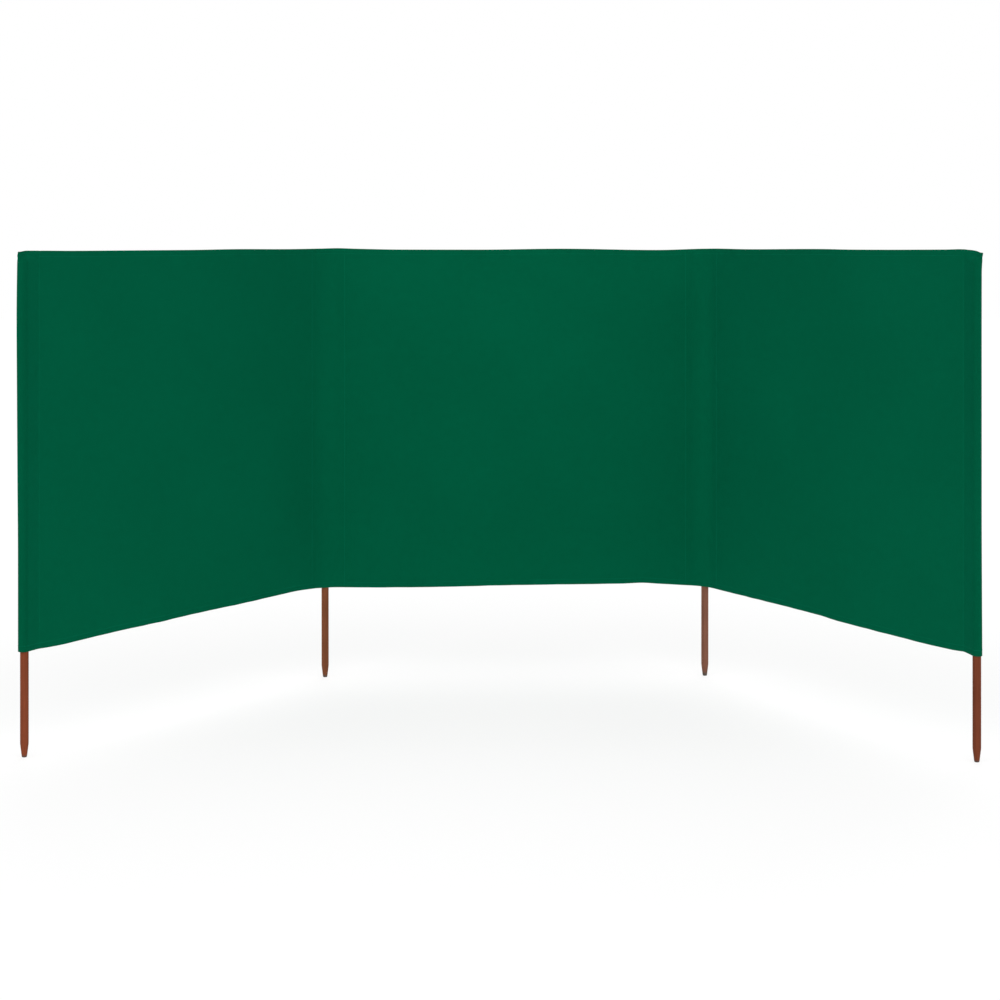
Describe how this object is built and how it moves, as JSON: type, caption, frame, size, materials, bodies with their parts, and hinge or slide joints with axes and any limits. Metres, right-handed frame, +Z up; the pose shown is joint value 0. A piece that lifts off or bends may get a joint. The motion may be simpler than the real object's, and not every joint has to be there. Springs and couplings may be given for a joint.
{
  "type": "privacy screen",
  "caption": "Cloth privacy screen: bays of plain green fabric sewn round stained wooden poles with blunt pointed feet, pushed into the ground in an angled line as a windbreak.",
  "frame": {"origin": "middle of the flat foot of the left inner pole", "axes": "+X along the middle bay to the right inner pole, +Y behind the screen, +Z up along the poles"},
  "size_m": [2.8385, 1.1879, 1.5],
  "materials": {
    "green_cloth": "matt woven",
    "pole_wood": "red-brown stain"
  },
  "bodies": {
    "middle_bay": {"left_inner_pole": "pole_wood", "right_inner_pole": "pole_wood", "left_inner_sleeve": "green_cloth", "right_inner_sleeve": "green_cloth", "middle_panel": "green_cloth", "middle_top_hem": "green_cloth", "middle_bottom_hem": "green_cloth"},
    "left_wing": {"left_outer_pole": "pole_wood", "left_outer_sleeve": "green_cloth", "left_panel": "green_cloth", "left_top_hem": "green_cloth", "left_bottom_hem": "green_cloth"},
    "right_wing": {"right_outer_pole": "pole_wood", "right_outer_sleeve": "green_cloth", "right_panel": "green_cloth", "right_top_hem": "green_cloth", "right_bottom_hem": "green_cloth"}
  },
  "joints": [
    {"name": "left_wing_swing", "type": "hinge", "parent": "middle_bay", "child": "left_wing", "pos_m": [0, 0, 0], "axis": [0, 0, 1], "range_deg": [-170, 65]},
    {"name": "right_wing_swing", "type": "hinge", "parent": "middle_bay", "child": "right_wing", "pos_m": [1.333, 0, 0], "axis": [0, 0, -1], "range_deg": [-178, 57]}
  ]
}
